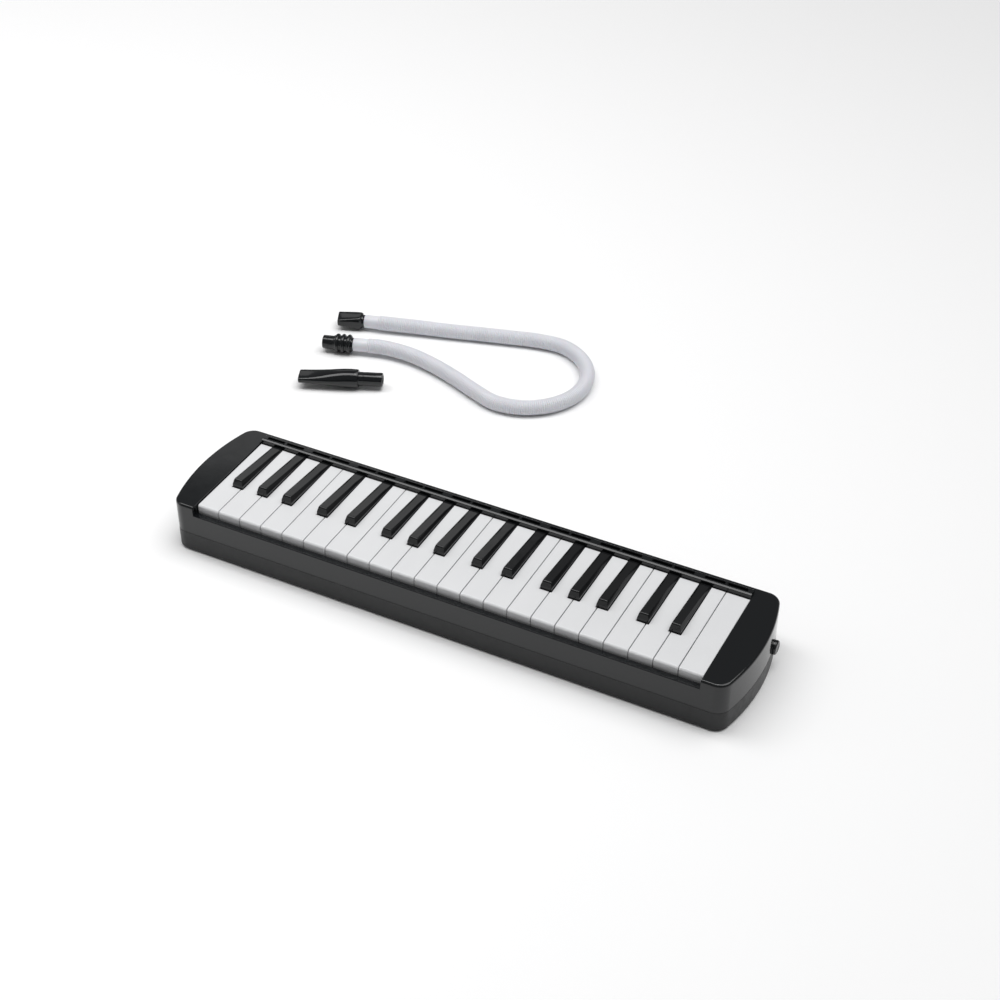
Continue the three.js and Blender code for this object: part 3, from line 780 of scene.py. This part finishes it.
def drain_button():
    low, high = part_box("drain_button")
    head_x, radius, collar, stem = 206.3 * MM, 5 * MM, 2.7 * MM, 1.5 * MM
    start, end = low.x, high.x
    profile = [
        (start, 0), (start, collar - 0.2 * MM), (start + 0.3 * MM, collar), (start + 1.2 * MM, collar),
        (start + 1.2 * MM, stem), (head_x, stem), (head_x, radius - 0.3 * MM), (head_x + 0.3 * MM, radius),
        (end - 1.2 * MM, radius), (end - 0.7 * MM, radius - 0.15 * MM), (end - 0.3 * MM, radius - 0.5 * MM),
        (end - 0.05 * MM, radius - 1.1 * MM), (end, radius - 1.7 * MM),
        (end - 0.25 * MM, radius - 2.4 * MM), (end - 0.4 * MM, 1 * MM), (end - 0.42 * MM, 0),
    ]
    button = turned("drain_button_piece", profile, 48)
    button.data.transform(Matrix.Translation((0, DRAIN.y, DRAIN.z)))
    settle(smooth(button, 40), "drain_valve", BLACK_GLOSS, "black_gloss", "drain_button")


# ---- drain spring, key springs and reeds ----


def wire(name, points, radius, sides=10):
    """A round wire along points, with closed ends."""
    rings = []
    for i, point in enumerate(points):
        ahead = (points[min(i + 1, len(points) - 1)] - points[max(i - 1, 0)]).normalized()
        side = ahead.cross(Vector((0.1, 0.2, 1))).normalized()
        up = side.cross(ahead)
        rings.append([point + side * u + up * v for u, v in circle(radius, sides)])
    return stack(name, rings)


def drain_spring():
    low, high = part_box("drain_spring")
    gauge, radius, turns, steps = 0.4 * MM, 3 * MM, 5, 120
    start, end = low.x + gauge, high.x - gauge
    points = []
    for i in range(steps + 1):
        t = i / steps
        rise = min(max((t * turns - 0.8) / (turns - 1.6), 0), 1)  # the last turns lie flat
        angle = 2 * math.pi * turns * t
        points.append(Vector((start + (end - start) * rise, DRAIN.y + radius * math.cos(angle),
                              DRAIN.z + radius * math.sin(angle))))
    piece = smooth(wire("drain_spring_piece", points, gauge), 60)
    settle(piece, "case", STEEL, "spring_steel", "drain_spring")
    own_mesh(piece)


def key_axle():
    low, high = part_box("key_axle")
    chamfer = 0.25 * MM
    profile = [(low.x, AXLE_RADIUS - chamfer), (low.x + chamfer, AXLE_RADIUS),
               (high.x - chamfer, AXLE_RADIUS), (high.x, AXLE_RADIUS - chamfer)]
    axle = turned("key_axle_piece", profile, 24)
    axle.data.transform(Matrix.Translation(PIVOT))
    settle(smooth(axle), "case", STEEL, "spring_steel", "key_axle")


SPRING_Z = 23.3 * MM
SPRING_THICKNESS = 0.5 * MM
SPRING_STRIP_Y = (8.5 * MM, 14 * MM)
SPRING_BOW = 0.5 * MM


def key_springs():
    """A steel strip on the wind chest, with a bent finger under each key."""
    low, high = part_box("key_springs")
    strip = box("key_spring_strip", (low.x, SPRING_STRIP_Y[0], SPRING_Z),
                (high.x, SPRING_STRIP_Y[1], SPRING_Z + SPRING_THICKNESS))
    settle(round_edges(strip, 0.08 * MM, 2), "case", STEEL, "spring_steel", "key_springs")
    tip = Vector((-2 * MM, SKIRT_Z - 0.3 * MM - SPRING_THICKNESS))
    root = Vector((SPRING_STRIP_Y[0], SPRING_Z))
    steps = 8
    for note, x in LEVERS.items():
        rings = []
        for i in range(steps + 1):
            t = i / steps
            y, z = root.lerp(tip, t)
            z -= SPRING_BOW * math.sin(math.pi * t)
            half = mix(1.5, 1.15, t) * MM
            rings.append([Vector((x + u, y, z + v)) for u, v in (
                (-half, 0), (half, 0), (half, SPRING_THICKNESS), (-half, SPRING_THICKNESS))])
        finger = smooth(stack(f"spring_finger_{note}", rings), 30)
        finger.data.materials.append(STEEL)
        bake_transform(finger)


def reeds():
    """A tuned bronze tongue over each slot of the reed plates, held by a rivet at its front end."""
    face, rear_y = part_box("reed_plate_bass")[0].z, 42 * MM
    longest, shortest, thickness = 30, 12, 0.3 * MM
    top_z = face - 0.02 * MM
    rivet_profile = [(0, 0.2 * MM), (0.12 * MM, 0.8 * MM), (0.4 * MM, 1 * MM), (0.7 * MM, 1 * MM)]
    notes = sorted(LEVERS.items(), key=lambda item: item[1])
    for i, (note, x) in enumerate(notes):
        length = mix(longest, shortest, i / (len(notes) - 1)) * MM
        front_y = rear_y - length
        sections = [
            (front_y - 3.4 * MM, 1.5, 1), (front_y - 0.4 * MM, 1.5, 1), (front_y + 0.2 * MM, 1.1, 1),
            (front_y + length * 0.5, 1.1, 0.6), (rear_y - 0.15 * MM, 1.05, 0.9),
        ]
        rings = []
        for y, half, thin in sections:
            low_z = top_z - thickness * thin
            rings.append([Vector((x + u * half * MM, y, z)) for u, z in (
                (-1, low_z), (1, low_z), (1, top_z), (-1, top_z))])
        tongue = stack(f"reed_{note}", rings)
        rivet = turned("rivet", rivet_profile, 20)
        rivet.data.transform(Matrix.Translation((x, front_y - 2 * MM, face - thickness - 0.4 * MM))
                             @ Matrix.Rotation(-math.pi / 2, 4, "Y"))
        join(tongue, rivet)
        settle(smooth(tongue, 30), "case", REED, "reed_brass")


# ---- hand strap ----

STRAP_Y = (10 * MM, 34 * MM)
STRAP_THICKNESS = 1.4 * MM
STRAP_END_Z, STRAP_LOW_Z = 4.7 * MM, 0.6 * MM


def strap_z(x):
    """The strap's underside: its ends lie against the recess, and its middle hangs lower."""
    return mix(STRAP_LOW_Z, STRAP_END_Z, ease(abs(x), 56 * MM, 70 * MM))


def strap_ring(x):
    """The strap's section at x: a flat band with round edges."""
    radius = STRAP_THICKNESS / 2
    z = strap_z(x) + radius
    outline = [*arc(STRAP_Y[1] - radius, z, radius, 90, -90), *arc(STRAP_Y[0] + radius, z, radius, -90, -270)]
    return [Vector((x, y, z)) for y, z in outline]


def hand_strap():
    low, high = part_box("hand_strap")
    steps = 156
    rings = [strap_ring(low.x + (high.x - low.x) * i / steps) for i in range(steps + 1)]
    strap = smooth(stack("hand_strap_piece", rings), 50)
    settle(strap, "case", STRAP, "strap", "hand_strap")
    stitches()


def stitches():
    """Two rows of thread along the strap's underside, a row near each edge."""
    pitch, length, radius = 3.1 * MM, 2.3 * MM, 0.22 * MM
    points, faces = [], []
    for y in (STRAP_Y[0] + 2.4 * MM, STRAP_Y[1] - 2.4 * MM):
        for i in range(-24, 25):
            middle = i * pitch
            first, sides = len(points), 8
            for j in range(7):
                t = j / 6
                x = middle + length * (t - 0.5)
                swell = math.sin(math.pi * (0.08 + 0.84 * t))
                sink = 0.22 * MM * (1 - swell)
                for u, v in circle(radius * max(swell, 0.3), sides):
                    points.append(Vector((x, y + u, strap_z(x) + sink + v)))
            for j in range(6):
                a, b = first + j * sides, first + (j + 1) * sides
                faces += [(a + k, a + (k + 1) % sides, b + (k + 1) % sides, b + k) for k in range(sides)]
            faces += [tuple(range(first, first + sides)), tuple(range(first + 6 * sides, first + 7 * sides))]
    thread_piece = smooth(make_object("strap_stitches", points, faces), 60)
    settle(thread_piece, "case", THREAD, "strap")


def strap_anchors():
    for node in ("strap_anchor_left", "strap_anchor_right"):
        low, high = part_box(node)
        plate = box(node + "_piece", low, high)
        settle(round_edges(plate, 0.9 * MM, 4), "case", BLACK_FLAT, "black_flat", node)
        for i, y in enumerate((14 * MM, 30 * MM), 1):
            fixing = screw(f"{node}_screw_{i}", Vector(((low.x + high.x) / 2, y, low.z - 0.9 * MM)), 2.2 * MM)
            settle(fixing, "case", SCREW, "spring_steel")


# ---- hose set and short mouthpiece ----


def hose_line(step=1 * MM):
    """Points along the hose's centreline, close together: a Catmull-Rom curve through its route."""
    route = [Vector(p) for p in HOSE_ROUTE]
    route = [route[0] * 2 - route[1], *route, route[-1] * 2 - route[-2]]
    line = []
    for a, b, c, d in zip(route, route[1:], route[2:], route[3:]):
        count = max(2, round((c - b).length / step))
        for i in range(count):
            t = i / count
            line.append(0.5 * (2 * b + (c - a) * t + (2 * a - 5 * b + 4 * c - d) * t ** 2
                               + (3 * b - a - 3 * c + d) * t ** 3))
    return [*line, route[-2].copy()]


def lengths_along(line):
    total, lengths = 0.0, [0.0]
    for a, b in zip(line, line[1:]):
        total += (b - a).length
        lengths.append(total)
    return lengths


CUFF_LENGTH, CUFF_RADIUS = 12 * MM, 5.35 * MM
RIB_PITCH, RIB_DEPTH = 1.55 * MM, 0.62 * MM
RIB_SHAPE = (  # shares of the pitch and of the depth
    (0.10, 0.80), (0.24, 0.27), (0.40, 0.02), (0.60, 0.02), (0.76, 0.27), (0.90, 0.80),
)


def hose_profile(length):
    """(distance, radius) pairs: a smooth cuff at each end, and rounded ribs between the cuffs."""
    crest = HOSE_DIAMETER / 2
    cuff = [(0, CUFF_RADIUS - 0.5 * MM), (0.15 * MM, CUFF_RADIUS - 0.2 * MM), (0.5 * MM, CUFF_RADIUS),
            (CUFF_LENGTH - 0.6 * MM, CUFF_RADIUS), (CUFF_LENGTH - 0.3 * MM, CUFF_RADIUS - 0.1 * MM),
            (CUFF_LENGTH, CUFF_RADIUS)]
    ribbed = length - 2 * CUFF_LENGTH
    ribs = round(ribbed / RIB_PITCH)
    pitch = ribbed / ribs
    rows = [*cuff]
    for i in range(ribs):
        start = CUFF_LENGTH + i * pitch
        for t, drop in RIB_SHAPE:
            rows.append((start + t * pitch, crest - drop * RIB_DEPTH))
        if i < ribs - 1:
            rows.append((start + pitch, crest - RIB_DEPTH))
    return rows + [(length - s, r) for s, r in reversed(cuff)]


def hose_rings(line, rows, sides):
    lengths = lengths_along(line)
    rings, i = [], 0
    for s, radius in rows:
        while i < len(line) - 2 and lengths[i + 1] < s:
            i += 1
        t = (s - lengths[i]) / (lengths[i + 1] - lengths[i])
        centre = line[i].lerp(line[i + 1], t)
        before, after = line[max(i - 1, 0)], line[min(i + 2, len(line) - 1)]
        ahead = (after - before).normalized()
        side = ahead.cross(Vector((0, 0, 1))).normalized()
        up = side.cross(ahead)
        rings.append([centre + side * u + up * v for u, v in circle(radius, sides)])
    return rings


def hose_set():
    line = hose_line()
    length = lengths_along(line)[-1]
    tube = smooth(stack("hose_tube_piece", hose_rings(line, hose_profile(length), 32)), 75)
    settle(tube, "hose_set", HOSE_WHITE, "hose_white", "hose_tube")
    connector = hose_connector(line)
    hose_mouthpiece(line)


def hose_connector(line):
    """Three grip beads behind a plain plug, which fits the blow socket."""
    core, bead, pitch, plug = 6.15 * MM, 1.6 * MM, 4.7 * MM, 5.5 * MM
    profile = [(0.3 * MM, 3.2 * MM), (0.3 * MM, 5.2 * MM), (1.3 * MM, 5.25 * MM), (1.6 * MM, core)]
    for i in range(3):
        middle = 2 * MM + bead + i * pitch
        for j in range(9):
            angle = math.pi * (1 - j / 8)
            profile.append((middle + bead * math.cos(angle),
                            core + 0.05 * MM + (bead - 0.15 * MM) * math.sin(angle)))
    profile += [(15.5 * MM, core), (15.8 * MM, core - 0.2 * MM), (15.9 * MM, plug), (20.3 * MM, plug),
                (20.45 * MM, plug - 0.12 * MM), (20.75 * MM, plug - 0.12 * MM), (20.9 * MM, plug),
                (24.3 * MM, plug - 0.05 * MM), (24.75 * MM, plug - 0.25 * MM), (25 * MM, plug - 0.7 * MM),
                (25 * MM, 3.6 * MM), (24.7 * MM, 3.2 * MM)]
    piece = turned("hose_connector_piece", profile, 56, closed=True)
    place(piece, line[-1], line[-1] * 2 - Vector(HOSE_ROUTE[-2]))
    return settle(smooth(piece, 35), "hose_set", BLACK_GLOSS, "black_gloss", "hose_connector")


def oblong(half_width, half_height, squareness, count=48):
    """A section between an ellipse, at squareness 2, and a rectangle."""
    ring = []
    for i in range(count):
        c, s = math.cos(2 * math.pi * i / count), math.sin(2 * math.pi * i / count)
        ring.append((half_width * math.copysign(abs(c) ** (2 / squareness), c),
                     half_height * math.copysign(abs(s) ** (2 / squareness), s)))
    return ring


def hose_mouthpiece(line):
    """A flat, slanted mouth that widens to a round neck for the hose."""
    mouth_x, shoulder_x, slant = -22.6 * MM, -2.2 * MM, 0.16
    outer = [(0, -0.55), (0.12, -0.25), (0.45, -0.05), (1.2, 0), (4, 0), (7, 0), (10, 0), (13, 0),
             (15.5, 0), (17.5, 0), (18.8, -0.05), (19.6, -0.25), (20.1, -0.6), (20.4, -1.1)]
    rings = []
    for dx, shrink in outer:
        x = mouth_x + dx * MM
        t = (x - mouth_x) / (shoulder_x - mouth_x)
        width = mix(7.25, 6.35, t) * MM + shrink * MM
        height = mix(3.0, 6.0, t) * MM + shrink * MM
        lean = slant * (1 - t)
        squareness = mix(5, 3.6, ease(t, 0.7, 1))
        rings.append([Vector((x - lean * y, y, z)) for y, z in oblong(width, height, squareness)])
    for x, radius in ((-2.1, 5.35), (-1.7, 5.2), (-0.55, 5.2), (-0.3, 5.0), (-0.3, 3.4)):
        rings.append([Vector((x * MM, y, z)) for y, z in oblong(radius * MM, radius * MM, 2)])
    for x, t in ((-9, 0.8), (-15, 0.4), (-20, 0.1), (-21.9, 0.0)):
        width, height = mix(5.7, 3.4, t) * MM, mix(1.7, 3.4, t) * MM
        lean = slant * (1 - t)
        rings.append([Vector((x * MM - lean * y, y, z)) for y, z in oblong(width, height, mix(4, 2, t))])
    rings.append([Vector((mouth_x - slant * y, y, z)) for y, z in oblong(6.1 * MM, 2.1 * MM, 4)])
    piece = stack("hose_mouthpiece_piece", rings, closed=True)
    place(piece, line[0], HOSE_ROUTE[1])
    settle(smooth(piece, 32), "hose_set", BLACK_GLOSS, "black_gloss", "hose_mouthpiece")


def short_mouthpiece():
    """A beak that is flat at its mouth and round at its shoulder, with a plug for the blow socket."""
    body = [(0.0, 6.75), (0.15, 7.05), (0.6, 7.25), (1.5, 7.3), (1.9, 7.2), (2.4, 7.2), (2.9, 7.32),
            (7, 7.42), (12, 7.5), (18, 7.65), (24, 7.75), (30, 7.76), (36, 7.7), (41, 7.58), (45.2, 7.42),
            (46.2, 7.3), (46.8, 7.0), (47, 6.4)]
    plug = [(47, 5.75), (47.3, 5.5), (50.5, 5.5), (50.7, 5.35), (51.2, 5.35), (51.4, 5.5), (64.6, 5.5),
            (65.4, 5.4), (65.85, 5.15), (66, 4.7), (66, 4.0), (65.7, 3.65)]
    bore = [(60, 3.6), (44, 3.6), (30, 4.6), (20, 5.2), (8, 5.7), (1.2, 5.8), (0.3, 6.0)]
    rings = []
    for profile, flatness in ((body + plug, 0.36), (bore, 0.27)):
        for x, radius in profile:
            boxy = mix(3.4, 2, ease(x, 0, 26)) if x < 47 else 2
            height = radius * mix(flatness, 1, ease(x, 0, 44))
            rings.append([Vector((x * MM, y, z)) for y, z in oblong(radius * MM, height * MM, boxy, 64)])
    piece = stack("short_mouthpiece_piece", rings, closed=True)
    turn = Matrix.Rotation(SHORT_MOUTHPIECE_HEADING, 4, "Z")
    piece.data.transform(Matrix.Translation(SHORT_MOUTHPIECE_AT) @ turn)
    settle(smooth(piece, 32), "short_mouthpiece", BLACK_GLOSS, "black_gloss", "short_mouthpiece")


# ---- inside ----


def dress_inside():
    for node, material, width in (
            ("wind_chest", GREY, 0.25), ("chest_lid", GREY, 0.3), ("chest_gasket", RUBBER, 0.12),
            ("reed_plate_bass", BRASS, 0.08), ("reed_plate_treble", BRASS, 0.08),
            ("white_key_felt", FELT, 0.4), ("black_key_felt", FELT, 0.4), ("drain_seal", RUBBER, 0.3)):
        dress(node, material, width * MM)


# ---- stage ----


def add_light(data, at, aim):
    light = bpy.data.objects.new(data.name, data)
    light.location = at
    light.rotation_euler = (Vector(aim) - Vector(at)).to_track_quat("-Z", "Y").to_euler()
    bpy.context.scene.collection.objects.link(light)


def stage():
    reach, z = 4, -0.1 * MM
    corners = [(-reach, -reach, z), (reach, -reach, z), (reach, reach, z), (-reach, reach, z)]
    floor = make_object("floor", corners, [(0, 1, 2, 3)])
    look = Look("floor", (0.97, 0.97, 0.972), 0.6)
    floor.data.materials.append(look.material)
    world = bpy.data.worlds.new("studio")
    world.use_nodes = True
    world.node_tree.nodes["Background"].inputs["Color"].default_value = (1, 1, 1, 1)
    world.node_tree.nodes["Background"].inputs["Strength"].default_value = 0.16
    bpy.context.scene.world = world
    soft_sun = bpy.data.lights.new("soft_sun", "SUN")
    soft_sun.energy, soft_sun.angle = 1.6, math.radians(50)
    add_light(soft_sun, (0.5, 0.35, 1.5), (0, 0, 0))
    for name, at, aim, size, power in (
            ("overhead_light", (-0.62, 0.0, 1.5), (-0.61, 0.0, 0), (0.6, 1.7), 14),
            ("left_light", (-1.6, -0.6, 1.0), (0, 0, 0), (0.5, 1.2), 2.0),
            ("rear_light", (-1.0, 1.5, 1.0), (-0.2, 0.1, 0), (0.7, 0.5), 0.6)):
        softbox = bpy.data.lights.new(name, "AREA")
        softbox.shape = "RECTANGLE"
        softbox.size, softbox.size_y = size
        softbox.energy = power
        add_light(softbox, at, aim)
    bpy.context.scene.view_settings.view_transform = "Standard"


make_camera()
hose_set()
short_mouthpiece()
top_cover()
bottom_cover()
cover_screws()
for node in key_nodes("white"):
    white_key(node)
for node in key_nodes("black"):
    black_key(node)
blow_socket()
drain_button()
drain_spring()
key_axle()
key_springs()
reeds()
hand_strap()
strap_anchors()
dress_inside()
stage()
